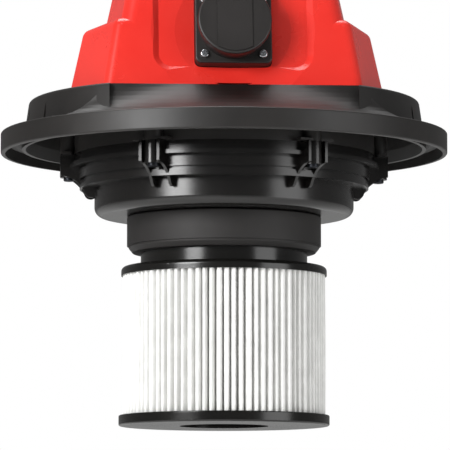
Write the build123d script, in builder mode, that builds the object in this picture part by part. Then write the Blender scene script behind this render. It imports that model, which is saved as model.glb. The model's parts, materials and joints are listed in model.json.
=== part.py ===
from build123d import *
import math
import os

# Power head of a wet and dry shop vacuum, lifted off its tank, with the cartridge
# filter pushed onto the float cage.  Millimetres, +Z up.  The face with the socket
# looks along -Y and the origin is the centre of the filter's bottom face.

os.makedirs("parts", exist_ok=True)

# ------------------------------------------------------------------ driving sizes

# Cartridge filter
filter_radius = 70.5
end_cap_height = 7.0
filter_length = 106.4
top_cap_radius = 68.9
top_cap_height = 6.0
cap_wall = 3.0
media_radius = 68.3
pleat_depth = 12.3
pleat_count = 84
pleat_skin = 3.1
core_wall = 2.0
recess_radius = 29.7
recess_depth = 16.0
grip_bar_width = 5.0
stub_radius = 55.8
stub_wall = 4.3
neck_gap = 9.6
collar_radius = 65.1
collar_foot_radius = 61.5
collar_height = 23.9
collar_taper = 4.4

# Float cage
seat_radius = 50.0
seat_wall = 3.0
ball_radius = 24.0
cage_clearance = 0.6
cage_rib = 4.0
cage_depth = 72.2
cage_floor = 3.0
inlet_radius = 20.0

# Motor pot
pot_radius = 87.0
pot_height = 40.8
pot_wall = 3.0
pot_edge_radius = 6.0
flange_radius = 104.0
leg_count = 6
leg_radius = 104.0
boss_radius = 6.0
boss_height = 15.0
fin_gap = 13.0
fin_thickness = 2.0

# Tank lid
rim_radius = 150.0
rim_height = 14.0
rim_wall = 3.0
channel_width = 11.3
inner_wall = 2.5
drum_height = 21.0
deck_edge_radius = 2.5
drum_draft = 3.0
lid_wall = 3.0
latch_grooves = (-24.0, -8.0, 8.0, 24.0)
groove_width = 2.6
groove_depth = 2.0
ramp_fan = 12.0

# Motor cover
facet_front = 98.0
facet_half_width = 83.0
pod_half_width = 105.0
pod_half_length = 32.0
pod_height = 45.0
cover_height = 127.0
column_half_width = 81.0
lean = 12.5
cover_wall = 3.0
crown_radius = 10.0
pod_edge_radius = 6.5
facet_step = 3.0
panel_width = 106.0
panel_margin = 8.5
panel_top_margin = 3.0
panel_slope = 4.5
panel_depth = 3.0
panel_corner = 13.0
cover_boss_angles = (30, 150, 210, 330)
cover_boss_radius = 104.5
dish_radius = 38.0
dish_depth = 3.0
vent_length = 26.0
vent_width = 4.0
vent_pitch = 8.5
vent_count = 6

# Socket on the front panel, a standard 50 mm flange with screws 38 mm apart
socket_size = 50.0
socket_pitch = 38.0
socket_corner = 4.0
socket_height = 38.4
socket_seat_depth = 8.0
socket_front = 4.0
gasket_thickness = 1.0
socket_barrel_radius = 21.5
socket_depth = 24.0
socket_bore = 19.8
socket_recess = 17.5
flap_radius = 24.0
flap_front = 19.0
flap_thickness = 5.0
flap_band = 22.5
hinge_height = 26.6
hinge_front = 10.0
pin_radius = 1.5

# Selector switch above the socket
knob_height = 93.0
knob_radius = 15.0
knob_depth = 15.0
bezel_radius = 18.0

# Carry handle on the crown
handle_span = 100.0
handle_rise = 46.0
grip_width = 26.0
grip_thickness = 18.0

# Ports at the back
port_bore = 23.5
port_wall = 3.0
port_height = 55.0
port_length = 22.0
gland_offset = 50.0
gland_height = 20.0
gland_radius = 8.0
cord_bore = 4.3

# Motor
can_radius = 68.0
can_height = 36.0
can_wall = 1.5
can_eye_radius = 20.0
mount_ring_height = 6.0
impeller_radius = 60.0
impeller_height = 22.0
blade_count = 8
shaft_radius = 4.0
bearing_radius = 11.0
bearing_height = 7.0
core_radius = 44.0
bore_radius = 28.0
air_gap = 0.6
core_length = 35.0
commutator_radius = 12.0
commutator_length = 14.0
coil_radius = 4.6
coil_ring_radius = 33.0
cooling_fan_radius = 42.0
hood_radius = 58.5
hood_wall = 2.5
hood_height = 103.0
hood_screw_circle = 87.0
bracket_width = 22.0
bracket_thickness = 3.0
leg_reach = 7.0
leg_width = 16.0
board_x = 76.0
board_z = 241.0
board_width = 56.0
board_height = 30.0
board_thickness = 1.6

# Fits
clearance = 0.3
running_fit = 0.05
screw_radius = 2.0
small_screw_radius = 1.5

# ------------------------------------------------------------------ shared levels

top_cap_z = filter_length - top_cap_height
collar_z = filter_length + neck_gap
pot_z = collar_z + collar_height + clearance
pot_floor_z = pot_z + pot_wall
seam_z = pot_z + pot_height
rim_z = seam_z + 1.0
rim_top_z = rim_z + rim_height
deck_z = rim_top_z + drum_height
crown_z = deck_z + cover_height

slope = math.tan(math.radians(lean))
rise = math.sin(math.radians(lean))
reach = math.cos(math.radians(lean))
front_face = Plane(origin=(0, -facet_front, deck_z), x_dir=(1, 0, 0), z_dir=(0, -reach, rise))
rear_face = Plane(origin=(0, facet_front, deck_z), x_dir=(-1, 0, 0), z_dir=(0, reach, rise))
left_face = Plane(origin=(-pod_half_width, 0, deck_z), x_dir=(0, -1, 0), z_dir=(-reach, 0, rise))
right_face = Plane(origin=(pod_half_width, 0, deck_z), x_dir=(0, 1, 0), z_dir=(reach, 0, rise))


def pan_screw(radius, length, head_height):
    """A cross-head screw that points down from its seat at the origin."""
    head = 1.9 * radius
    slot_depth = 0.5 * head_height
    with BuildPart() as screw:
        Cylinder(radius, length, align=(Align.CENTER, Align.CENTER, Align.MAX))
        Cylinder(head, head_height, align=(Align.CENTER, Align.CENTER, Align.MIN))
        fillet(screw.edges().group_by(Axis.Z)[-1], 0.4 * head_height)
        with Locations((0, 0, head_height - slot_depth)):
            for turn in (0, 90):
                Box(
                    1.2 * head,
                    0.3 * head,
                    head_height,
                    rotation=(0, 0, turn),
                    align=(Align.CENTER, Align.CENTER, Align.MIN),
                    mode=Mode.SUBTRACT,
                )
    return screw.part


# ------------------------------------------------------------------ cartridge filter

media_inner_radius = media_radius - pleat_depth
core_radius_outer = media_inner_radius - clearance
core_radius_inner = core_radius_outer - core_wall
media_z = end_cap_height - cap_wall
media_top_z = top_cap_z + cap_wall
lip_radius = media_radius + clearance

# Bottom end cap: a disc with a trough for the media and a blind finger recess.
with BuildPart() as filter_bottom_cap:
    Cylinder(filter_radius, end_cap_height, align=(Align.CENTER, Align.CENTER, Align.MIN))
    fillet(filter_bottom_cap.edges().group_by(Axis.Z)[0], 1.2)
    fillet(filter_bottom_cap.edges().group_by(Axis.Z)[-1], 0.8)
    with BuildSketch(Plane.XY.offset(media_z)):
        Circle(lip_radius)
        Circle(core_radius_inner, mode=Mode.SUBTRACT)
    extrude(amount=end_cap_height, mode=Mode.SUBTRACT)
    with BuildSketch():
        Circle(recess_radius + core_wall)
    extrude(amount=recess_depth + core_wall)
    with BuildSketch():
        Circle(recess_radius)
    extrude(amount=recess_depth, mode=Mode.SUBTRACT)
    with BuildSketch(Plane.XY.offset(cap_wall)):
        Rectangle(2 * recess_radius + core_wall, grip_bar_width)
    extrude(amount=recess_depth - cap_wall)
filter_bottom_cap.part.label = "filter_bottom_cap"
export_step(filter_bottom_cap.part, "parts/filter_bottom_cap.step")

# Top end cap: a rounded disc that carries the stub for the rubber collar.
stub_top_z = pot_z - 6.0
with BuildPart() as filter_top_cap:
    with BuildSketch(Plane.XY.offset(top_cap_z)):
        Circle(top_cap_radius)
    extrude(amount=top_cap_height)
    fillet(filter_top_cap.edges().group_by(Axis.Z)[-1], 3.0)
    with BuildSketch(Plane.XY.offset(top_cap_z)):
        Circle(lip_radius)
    extrude(amount=cap_wall, mode=Mode.SUBTRACT)
    with BuildSketch(Plane.XY.offset(media_top_z)):
        Circle(stub_radius)
    extrude(amount=stub_top_z - media_top_z)
    with BuildSketch(Plane.XY.offset(top_cap_z)):
        Circle(stub_radius - stub_wall)
    extrude(amount=stub_top_z - top_cap_z, mode=Mode.SUBTRACT)
filter_top_cap.part.label = "filter_top_cap"
export_step(filter_top_cap.part, "parts/filter_top_cap.step")

# Pleated media: one folded sheet closed into a ring, its folds in the two troughs.
half_fold = math.pi / pleat_count


def fold_line(tip, valley):
    """The zigzag of one face of the sheet, tip radius and valley radius in turn."""
    points = []
    for fold in range(pleat_count):
        for radius, turn in ((tip, 2 * fold), (valley, 2 * fold + 1)):
            angle = turn * half_fold
            points.append((radius * math.cos(angle), radius * math.sin(angle)))
    return points


with BuildPart() as filter_media:
    with BuildSketch(Plane.XY.offset(media_z)):
        Polygon(*fold_line(media_radius, media_inner_radius + pleat_skin), align=None)
        Polygon(
            *fold_line(media_radius - pleat_skin, media_inner_radius),
            align=None,
            mode=Mode.SUBTRACT,
        )
    extrude(amount=media_top_z - media_z)
filter_media.part.label = "filter_media"
export_step(filter_media.part, "parts/filter_media.step")

# Core: a perforated tube that keeps the pleats from folding inwards.
with BuildPart() as filter_core:
    with BuildSketch(Plane.XY.offset(media_z)):
        Circle(core_radius_outer)
        Circle(core_radius_inner, mode=Mode.SUBTRACT)
    extrude(amount=media_top_z - media_z)
    window_rows = 5
    window_pitch = (media_top_z - media_z) / window_rows
    for row in range(window_rows):
        level = media_z + (row + 0.5) * window_pitch
        with Locations((0, 0, level)):
            with PolarLocations(core_radius_outer, 12):
                Box(4 * core_wall, 18.0, window_pitch - 5.0, mode=Mode.SUBTRACT)
filter_core.part.label = "filter_core"
export_step(filter_core.part, "parts/filter_core.step")

# Rubber collar: bonded over the stub, it grips the seat of the float cage.
with BuildPart() as filter_collar:
    with BuildSketch(Plane.XZ):
        Polygon(
            (stub_radius, collar_z),
            (collar_foot_radius, collar_z),
            (collar_radius - 1.2, collar_z + collar_taper - 1.4),
            (collar_radius - 1.2, collar_z + collar_taper),
            (collar_radius, collar_z + collar_taper),
            (collar_radius, collar_z + collar_height),
            (seat_radius + running_fit, collar_z + collar_height),
            (seat_radius + running_fit, stub_top_z),
            (stub_radius, stub_top_z),
            align=None,
        )
    revolve(axis=Axis.Z)
    fillet(filter_collar.edges().filter_by(GeomType.CIRCLE).group_by(Axis.Z)[-1].sort_by(
        SortBy.RADIUS)[-1], 1.0)
filter_collar.part.label = "filter_collar"
export_step(filter_collar.part, "parts/filter_collar.step")

# ------------------------------------------------------------------ float cage

cage_radius = ball_radius + cage_clearance
cage_z = pot_z - cage_depth

# Float cage: the seat for the collar and eight ribs that guide the ball.
with BuildPart() as float_cage:
    with BuildSketch(Plane.XZ):
        Polygon(
            (cage_radius, cage_z),
            (cage_radius + cage_rib, cage_z),
            (cage_radius + cage_rib, collar_z),
            (seat_radius - 1.0, collar_z + 8.0),
            (seat_radius - 1.0, pot_z),
            (cage_radius, pot_z),
            align=None,
        )
    extrude(amount=fin_thickness / 2, both=True)
    rib = float_cage.part
    with PolarLocations(0, 7, start_angle=45, angular_range=315):
        add(rib)
    with BuildSketch(Plane.XY.offset(collar_z + 4.0)):
        Circle(seat_radius)
        Circle(seat_radius - seat_wall, mode=Mode.SUBTRACT)
    extrude(amount=pot_z - collar_z - 4.0)
    with BuildSketch(Plane.XY.offset(cage_z)):
        Circle(cage_radius + cage_rib)
    extrude(amount=cage_floor)
    with BuildSketch(Plane.XY.offset(cage_z)):
        Circle(ball_radius / 3)
        with PolarLocations(ball_radius * 0.72, 8, start_angle=22.5):
            Circle(4.0)
    extrude(amount=cage_floor, mode=Mode.SUBTRACT)
    for level in (cage_z + cage_depth / 3, cage_z + 2 * cage_depth / 3):
        with BuildSketch(Plane.XY.offset(level)):
            Circle(cage_radius + cage_rib)
            Circle(cage_radius + 1.5, mode=Mode.SUBTRACT)
        extrude(amount=2.0)
float_cage.part.label = "float_cage"
export_step(float_cage.part, "parts/float_cage.step")

# Float ball: it floats up and closes the inlet when the tank is full of water.
ball_z = cage_z + cage_floor + clearance + ball_radius
with BuildPart() as float_ball:
    with Locations((0, 0, ball_z)):
        Sphere(ball_radius)
float_ball.part.label = "float_ball"
export_step(float_ball.part, "parts/float_ball.step")

# ------------------------------------------------------------------ motor pot

leg_shoulder_z = seam_z - boss_height
step_z = pot_z + 18.5
flange_z = pot_z + 32.0

# One leg: two thin fins with an ogee lower edge on both sides of a screw boss.
with BuildPart() as leg:
    with BuildSketch(Plane.XZ):
        with BuildLine():
            outer_toe = (leg_radius + boss_radius, leg_shoulder_z + 1.2)
            knee = (pot_radius + 6.6, seam_z - 25.5)
            heel = (pot_radius - 1.0, seam_z - 27.2)
            Spline(outer_toe, (leg_radius - 2.0, leg_shoulder_z - 1.4), knee,
                   tangents=((-1, -0.15), (-0.55, -1)))
            ThreePointArc(knee, (pot_radius + 2.2, seam_z - 28.8), heel)
            Polyline(
                heel,
                (pot_radius - 1.0, step_z + 1.3),
                (pot_radius + 7.5, step_z + 1.3),
                (pot_radius + 7.5, flange_z),
                (flange_radius - pot_wall - 1.0, flange_z + pot_wall + 1.0),
                (flange_radius - pot_wall - 1.0, seam_z),
                (leg_radius + boss_radius, seam_z),
                outer_toe,
            )
        make_face()
    extrude(amount=fin_gap / 2 + fin_thickness / 2, both=True)
    with BuildSketch(Plane.XZ):
        with Locations((leg_radius, pot_floor_z)):
            Rectangle(3 * pot_radius, pot_height * 3)
    extrude(amount=fin_gap / 2 - fin_thickness / 2, both=True, mode=Mode.SUBTRACT)
    with Locations((leg_radius, 0, leg_shoulder_z)):
        Cylinder(boss_radius, boss_height, align=(Align.CENTER, Align.CENTER, Align.MIN))

# Motor pot: a stepped bell with a thin flange, six legs and the air inlet.
with BuildPart() as motor_pot:
    with BuildSketch(Plane.XZ):
        Polygon(
            (inlet_radius, pot_z),
            (pot_radius, pot_z),
            (pot_radius, step_z),
            (pot_radius + 10.0, step_z),
            (pot_radius + 10.0, step_z + 4.3),
            (pot_radius + 8.5, step_z + 4.3),
            (pot_radius + 8.5, step_z + 5.9),
            (pot_radius + 11.0, step_z + 5.9),
            (pot_radius + 11.0, step_z + 11.9),
            (pot_radius + 9.5, step_z + 11.9),
            (pot_radius + 9.5, flange_z),
            (flange_radius, flange_z),
            (flange_radius, flange_z + 2.6),
            (flange_radius - pot_wall, flange_z + 2.6),
            (flange_radius - pot_wall, seam_z),
            (flange_radius - 2 * pot_wall, seam_z),
            (flange_radius - 2 * pot_wall, flange_z + pot_wall),
            (pot_radius + 6.0, flange_z + pot_wall),
            (pot_radius + 6.0, step_z + pot_wall),
            (pot_radius - pot_wall, step_z + pot_wall),
            (pot_radius - pot_wall, pot_floor_z),
            (inlet_radius, pot_floor_z),
            align=None,
        )
    revolve(axis=Axis.Z)
    fillet(
        motor_pot.edges().filter_by(GeomType.CIRCLE).group_by(Axis.Z)[0].sort_by(SortBy.RADIUS)[-1],
        pot_edge_radius,
    )
    with PolarLocations(0, leg_count):
        add(leg.part)
    with BuildSketch(Plane.XY.offset(leg_shoulder_z)):
        with PolarLocations(leg_radius, leg_count):
            Circle(screw_radius + clearance)
    extrude(amount=boss_height, mode=Mode.SUBTRACT)
motor_pot.part.label = "motor_pot"
export_step(motor_pot.part, "parts/motor_pot.step")

# Pot screws, driven up from below into the bosses of the lid.
pot_screw = pan_screw(screw_radius, boss_height + 11.0, 2.4)
with BuildPart() as pot_screws:
    with PolarLocations(leg_radius, leg_count):
        with Locations(Location((0, 0, leg_shoulder_z), (180, 0, 0))):
            add(pot_screw)
pot_screws.part.label = "pot_screws"
export_step(pot_screws.part, "parts/pot_screws.step")

# ------------------------------------------------------------------ tank lid

skirt_radius = flange_radius - pot_wall
drum_foot_radius = rim_radius - rim_wall - channel_width - inner_wall + 0.8
drum_top_radius = drum_foot_radius - drum_draft
well_radius = facet_front - cover_wall
plate_z = rim_top_z - lid_wall
plate_hole_radius = 82.0
ramp_corner_radius = math.hypot(facet_half_width, facet_front)
ramp_corner_angle = math.degrees(math.atan2(facet_half_width, facet_front))


def ramp_outline(run, inset):
    """The ramp's outline at a share of its run from the cover to the rim."""
    level = rim_top_z + drum_height * (1 - run) ** 2.2 - inset
    edge_radius = rim_radius - 1.5
    corner_radius = ramp_corner_radius + (edge_radius - ramp_corner_radius) * run - inset
    angle = math.radians(ramp_corner_angle + ramp_fan * run - 0.8 * inset)
    corner = (corner_radius * math.sin(angle), -corner_radius * math.cos(angle))
    middle = -facet_front - (edge_radius - facet_front) * run + inset
    back = (facet_half_width - 5.0 - inset, -well_radius + 1.0 - 0.6 * inset)
    with BuildSketch(Plane.XY.offset(level)) as outline:
        with BuildLine():
            if run > 0:
                ThreePointArc((-corner[0], corner[1]), (0, middle), corner)
            else:
                Line((-corner[0], corner[1]), corner)
            Polyline(corner, back, (-back[0], back[1]), (-corner[0], corner[1]))
        make_face()
    return outline.sketch


ramp_steps = 10
ramp_runs = [(step / ramp_steps) ** 1.3 for step in range(ramp_steps + 1)]

# Ramp: the fan that sweeps down from the cover's front face to the rim.
ramp_outlines = [ramp_outline(run, 0.0) for run in ramp_runs]
with BuildPart() as ramp:
    loft(ramp_outlines, ruled=True)
    extrude(ramp_outlines[-1].faces()[0], amount=-0.6)

# The space under the ramp, open to the underside of the lid.
hollow_outlines = [ramp_outline(run, lid_wall) for run in ramp_runs[1:]]
with BuildPart() as ramp_hollow:
    loft(hollow_outlines, ruled=True)
    Cylinder(drum_foot_radius - lid_wall, 2 * crown_z, mode=Mode.INTERSECT)

# Tank lid: a drum on a broad rim whose channel turns down over the tank's edge.
with BuildPart() as tank_lid:
    with BuildSketch(Plane.XZ):
        Polygon(
            (rim_radius - rim_wall, rim_z),
            (rim_radius, rim_z),
            (rim_radius, rim_top_z),
            (drum_foot_radius, rim_top_z),
            (drum_top_radius, deck_z),
            (well_radius - lid_wall, deck_z),
            (well_radius - lid_wall, rim_top_z),
            (plate_hole_radius, rim_top_z),
            (plate_hole_radius, plate_z),
            (skirt_radius - lid_wall, plate_z),
            (skirt_radius - lid_wall, seam_z),
            (skirt_radius, seam_z),
            (skirt_radius, rim_top_z),
            (well_radius, rim_top_z),
            (well_radius, deck_z - lid_wall),
            (drum_top_radius - lid_wall, deck_z - lid_wall),
            (drum_foot_radius - lid_wall, plate_z),
            (rim_radius - rim_wall - channel_width - inner_wall, rim_z + 3.0),
            (rim_radius - rim_wall - channel_width, rim_z + 3.0),
            (rim_radius - rim_wall - channel_width, plate_z),
            (rim_radius - rim_wall, plate_z),
            align=None,
        )
    revolve(axis=Axis.Z)
    rim_edges = tank_lid.edges().filter_by(GeomType.CIRCLE).filter_by(
        lambda edge: abs(edge.radius - rim_radius) < 0.01)
    fillet(rim_edges, 1.2)
    deck_edge = tank_lid.edges().filter_by(GeomType.CIRCLE).filter_by(
        lambda edge: abs(edge.radius - drum_top_radius) < 0.01)
    fillet(deck_edge, deck_edge_radius)
    for side in (1, -1):
        with Locations((0, side * (facet_front + rim_radius) / 2, rim_top_z)):
            Box(
                2 * facet_half_width - 4.0,
                rim_radius - facet_front,
                2 * drum_height,
                align=(Align.CENTER, Align.CENTER, Align.MIN),
                mode=Mode.SUBTRACT,
            )
    for turn in (0, 180):
        add(ramp.part, rotation=(0, 0, turn))
    for turn in (0, 180):
        add(ramp_hollow.part, rotation=(0, 0, turn), mode=Mode.SUBTRACT)
    with BuildSketch(Plane.XY.offset(rim_top_z)):
        for side in (0, 180):
            for turn in latch_grooves:
                with PolarLocations(drum_foot_radius, 1, start_angle=side + turn):
                    Rectangle(2 * groove_depth, groove_width)
    extrude(amount=drum_height, mode=Mode.SUBTRACT)
    with BuildSketch(Plane.XY.offset(seam_z)):
        with PolarLocations(leg_radius, leg_count):
            Circle(boss_radius)
    extrude(amount=deck_z - lid_wall - seam_z)
    with BuildSketch(Plane.XY.offset(seam_z)):
        with PolarLocations(leg_radius + 2.0, leg_count):
            Rectangle(6.0, 26.0)
    extrude(amount=1.6)
    with BuildSketch(Plane.XY.offset(seam_z)):
        with PolarLocations(leg_radius, leg_count):
            Circle(screw_radius)
    extrude(amount=12.0, mode=Mode.SUBTRACT)
    with BuildSketch(Plane.XY.offset(deck_z)):
        for angle in cover_boss_angles:
            with PolarLocations(cover_boss_radius, 1, start_angle=angle):
                Circle(screw_radius)
    extrude(amount=-lid_wall, mode=Mode.SUBTRACT)
    with BuildSketch(Plane.XY.offset(plate_z)):
        with PolarLocations(hood_screw_circle, 4, start_angle=45):
            Circle(small_screw_radius)
    extrude(amount=lid_wall, mode=Mode.SUBTRACT)
tank_lid.part.label = "tank_lid"
export_step(tank_lid.part, "parts/tank_lid.step")

# Tank seal: a soft ring in the channel that presses on the tank's edge.
with BuildPart() as tank_seal:
    with BuildSketch(Plane.XZ):
        seal_inner = rim_radius - rim_wall - channel_width
        seal_outer = rim_radius - rim_wall
        Polygon(
            (seal_inner, plate_z),
            (seal_inner, plate_z - 3.0),
            (seal_inner + 3.0, plate_z - 4.5),
            (seal_outer - 3.0, plate_z - 4.5),
            (seal_outer, plate_z - 3.0),
            (seal_outer, plate_z),
            align=None,
        )
    revolve(axis=Axis.Z)
tank_seal.part.label = "tank_seal"
export_step(tank_seal.part, "parts/tank_seal.step")

# ------------------------------------------------------------------ motor cover

column_foot_half_width = column_half_width + pod_height * slope


def octagon(corner_x, corner_y, side_x, side_y):
    """Corners of a plan that is the same left and right, front and back."""
    return (
        (corner_x, -corner_y),
        (side_x, -side_y),
        (side_x, side_y),
        (corner_x, corner_y),
        (-corner_x, corner_y),
        (-side_x, side_y),
        (-side_x, -side_y),
        (-corner_x, -corner_y),
    )


def leaning_block(corners, height, inset):
    """A block on the deck whose sides lean in, or the space inside its wall."""
    with BuildPart() as block:
        with BuildSketch(Plane.XY.offset(deck_z)):
            Polygon(*corners, align=None)
            if inset > 0:
                offset(amount=-inset, kind=Kind.INTERSECTION)
        extrude(amount=height - inset, taper=lean)
    return block


def uprights(block):
    """The leaning corner edges of a block."""
    return block.edges().filter_by(lambda edge: edge.bounding_box().size.Z > 1.0)


def top_edges(block):
    return block.faces().sort_by(Axis.Z)[-1].edges()


def cover_volume(inset):
    """The low pods and the tall column of the cover, inset by the wall for the inside."""
    pods = leaning_block(
        octagon(facet_half_width, facet_front, pod_half_width, pod_half_length), pod_height, inset
    )
    column = leaning_block(
        octagon(
            facet_half_width - facet_step, facet_front, column_foot_half_width, facet_front / 4
        ),
        cover_height,
        inset,
    )
    with pods:
        fillet(top_edges(pods) + uprights(pods), pod_edge_radius - inset)
    with column:
        fillet(top_edges(column) + uprights(column), crown_radius - inset)
        add(pods.part)
    return column.part


outside = cover_volume(0.0)
inside = cover_volume(cover_wall)
socket_face = front_face.offset(-socket_seat_depth)
panel_floor = front_face.offset(-panel_depth)
panel_top = (cover_height - crown_radius) / reach - panel_top_margin
panel_length = panel_top - panel_margin
panel_middle = (panel_top + panel_margin) / 2
dish_sphere = (dish_radius**2 + dish_depth**2) / (2 * dish_depth)
pad_half_width = panel_width / 2 + cover_wall

# Thick places inside the shell: behind the recess, at the screws and for the board.
with BuildPart() as panel_pad:
    with BuildSketch(front_face):
        with Locations((0, panel_middle)):
            Rectangle(2 * pad_half_width, panel_length + 2 * cover_wall)
    extrude(amount=-(panel_depth + cover_wall))
    with BuildSketch(front_face):
        with Locations((0, socket_height)):
            Rectangle(2 * dish_radius + 4.0, 2 * socket_height - 4.0)
    extrude(amount=-(socket_seat_depth + cover_wall))
    with BuildSketch(Plane.XY.offset(deck_z)):
        for angle in cover_boss_angles:
            with PolarLocations(cover_boss_radius, 1, start_angle=angle):
                Circle(boss_radius - 1.0)
    extrude(amount=18.0)
    with BuildSketch(Plane.YZ.offset(board_x + board_thickness)):
        with Locations((0, board_z)):
            with GridLocations(board_width - 10.0, 1, 2, 1):
                Circle(boss_radius / 2)
    extrude(amount=pod_half_width - board_x)
    add(outside, mode=Mode.INTERSECT)

# The recess in the front face: a slanted step all round, its corners rounded.
with BuildPart() as panel_recess:
    with BuildSketch(front_face.offset(0.5)):
        with Locations((0, panel_middle)):
            RectangleRounded(panel_width, panel_length, panel_corner)
    with BuildSketch(panel_floor):
        with Locations((0, panel_middle)):
            RectangleRounded(
                panel_width - 2 * panel_slope, panel_length - 2 * panel_slope, panel_corner - 4.0
            )
    loft()

# Motor cover: a thin shell with two low pods, a tall column and the front recess.
with BuildPart() as motor_cover:
    add(outside)
    add(inside, mode=Mode.SUBTRACT)
    add(panel_pad.part)
    add(panel_recess.part, mode=Mode.SUBTRACT)
    with Locations(panel_floor):
        with Locations((0, socket_height, dish_sphere - dish_depth)):
            Sphere(dish_sphere, mode=Mode.SUBTRACT)
    with BuildSketch(socket_face):
        with Locations((0, socket_height)):
            RectangleRounded(socket_size + 2 * clearance, socket_size + 2 * clearance, socket_corner)
    extrude(amount=2 * socket_seat_depth, mode=Mode.SUBTRACT)
    with BuildSketch(front_face):
        with Locations((0, socket_height)):
            Circle(socket_barrel_radius + clearance)
        with Locations((0, knob_height)):
            Circle(knob_radius / 2)
    extrude(amount=-4 * socket_seat_depth, mode=Mode.SUBTRACT)
    with BuildSketch(front_face):
        with Locations((0, socket_height)):
            with GridLocations(socket_pitch, socket_pitch, 2, 2):
                Circle(small_screw_radius)
    extrude(amount=-4 * socket_seat_depth, mode=Mode.SUBTRACT)
    for face in (left_face, right_face):
        with BuildSketch(face):
            with Locations((0, pod_height / 2)):
                with GridLocations(vent_pitch, 1, vent_count, 1):
                    SlotOverall(vent_length, vent_width, rotation=90)
        extrude(amount=-3 * cover_wall, mode=Mode.SUBTRACT)
    with BuildSketch(rear_face):
        with Locations((0, port_height)):
            Circle(port_bore + port_wall + clearance)
        with Locations((-gland_offset, gland_height)):
            Circle(gland_radius)
    extrude(amount=-3 * cover_wall, mode=Mode.SUBTRACT)
    with BuildSketch(Plane.XY.offset(deck_z)):
        for angle in cover_boss_angles:
            with PolarLocations(cover_boss_radius, 1, start_angle=angle):
                Circle(screw_radius)
    extrude(amount=14.0, mode=Mode.SUBTRACT)
    with BuildSketch(Plane.XY.offset(crown_z)):
        with GridLocations(1, handle_span, 1, 2):
            Circle(screw_radius)
    extrude(amount=-cover_wall, mode=Mode.SUBTRACT)
motor_cover.part.label = "motor_cover"
export_step(motor_cover.part, "parts/motor_cover.step")

# Cover screws, driven up through the lid's deck into the cover's bosses.
cover_screw = pan_screw(screw_radius - running_fit, lid_wall + 12.0, 2.4)
with BuildPart() as cover_screws:
    for angle in cover_boss_angles:
        with PolarLocations(cover_boss_radius, 1, start_angle=angle):
            with Locations(Location((0, 0, deck_z - lid_wall), (180, 0, 0))):
                add(cover_screw)
cover_screws.part.label = "cover_screws"
export_step(cover_screws.part, "parts/cover_screws.step")

# ------------------------------------------------------------------ carry handle

handle_foot_y = handle_span / 2
grip_z = crown_z + handle_rise

# Carry handle: an arch along the length of the head on two flat feet.
with BuildPart() as carry_handle:
    with BuildLine() as arch:
        FilletPolyline(
            (0, -handle_foot_y, crown_z + 2.0),
            (0, -handle_foot_y + 4.0, grip_z),
            (0, handle_foot_y - 4.0, grip_z),
            (0, handle_foot_y, crown_z + 2.0),
            radius=16.0,
        )
    with BuildSketch(Plane(origin=arch.line @ 0, x_dir=(1, 0, 0), z_dir=arch.line % 0)):
        RectangleRounded(grip_width, grip_thickness, 7.0)
    sweep()
    for side in (1, -1):
        with BuildSketch(Plane.XY.offset(crown_z)):
            with Locations((0, side * handle_foot_y)):
                RectangleRounded(grip_width + 8.0, grip_thickness + 8.0, 9.0)
        extrude(amount=6.0, taper=20)
    with BuildSketch(Plane.XY.offset(crown_z)):
        with GridLocations(1, handle_span, 1, 2):
            Circle(screw_radius)
    extrude(amount=18.0, mode=Mode.SUBTRACT)
carry_handle.part.label = "carry_handle"
export_step(carry_handle.part, "parts/carry_handle.step")

handle_screw = pan_screw(screw_radius - running_fit, cover_wall + 16.0, 2.4)
with BuildPart() as handle_screws:
    with Locations((0, 0, crown_z - cover_wall)):
        with GridLocations(1, handle_span, 1, 2):
            with Locations(Location((0, 0, 0), (180, 0, 0))):
                add(handle_screw)
handle_screws.part.label = "handle_screws"
export_step(handle_screws.part, "parts/handle_screws.step")

# ------------------------------------------------------------------ socket

socket_seat = front_face.offset(gasket_thickness - socket_seat_depth)
socket_plate = front_face.offset(socket_front)
plate_depth = socket_front + socket_seat_depth - gasket_thickness
collar_front = flap_front - flap_thickness - clearance
knuckle_radius = pin_radius + 1.9
knuckle_width = 5.0
spring_gap = 11.0
hinge_y = socket_height + hinge_height

with BuildPart() as socket_gasket:
    with BuildSketch(socket_face):
        with Locations((0, socket_height)):
            RectangleRounded(socket_size, socket_size, socket_corner)
            Circle(socket_barrel_radius + clearance, mode=Mode.SUBTRACT)
            with GridLocations(socket_pitch, socket_pitch, 2, 2):
                Circle(small_screw_radius, mode=Mode.SUBTRACT)
    extrude(amount=gasket_thickness)
socket_gasket.part.label = "socket_gasket"
export_step(socket_gasket.part, "parts/socket_gasket.step")

hinge_plane = Plane(
    origin=front_face.from_local_coords((0, hinge_y, hinge_front)),
    x_dir=(0, rise, reach),
    z_dir=(1, 0, 0),
)
outer_knuckle_x = spring_gap / 2 + 1.5 * knuckle_width + clearance
inner_knuckle_x = spring_gap / 2 + 0.5 * knuckle_width

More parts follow.
